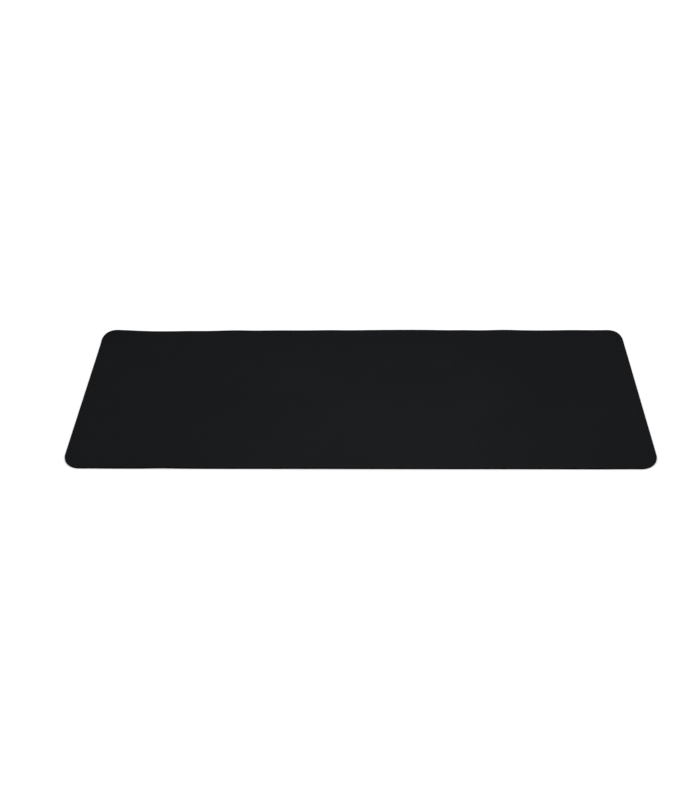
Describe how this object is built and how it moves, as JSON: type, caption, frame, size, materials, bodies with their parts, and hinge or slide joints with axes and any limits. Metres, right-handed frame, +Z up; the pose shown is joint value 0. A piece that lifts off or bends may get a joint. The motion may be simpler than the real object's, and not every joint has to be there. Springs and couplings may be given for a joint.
{
  "type": "desk mat",
  "caption": "Long, thin, flexible mat with a woven cloth face and a grippy sponge-rubber back, laid flat on a desk under a keyboard and mouse.",
  "frame": {"origin": "middle of the underside, on the desk top", "axes": "+X along the long side, to the right of the person at the desk; +Y across the depth, away from them; +Z up out of the cloth face"},
  "size_m": [0.8, 0.3, 0.003],
  "materials": {
    "face_cloth": "matte black polyester micro-weave, plain, with a faint even nap",
    "adhesive_film": "thin smoked laminating film, seen only as a line at the cut edge",
    "rubber_base": "matte black closed-cell sponge rubber, moulded skin with an embossed grip pattern underneath"
  },
  "bodies": {
    "root": {"face_cloth": "face_cloth", "adhesive_film": "adhesive_film", "rubber_base": "rubber_base"}
  },
  "joints": []
}
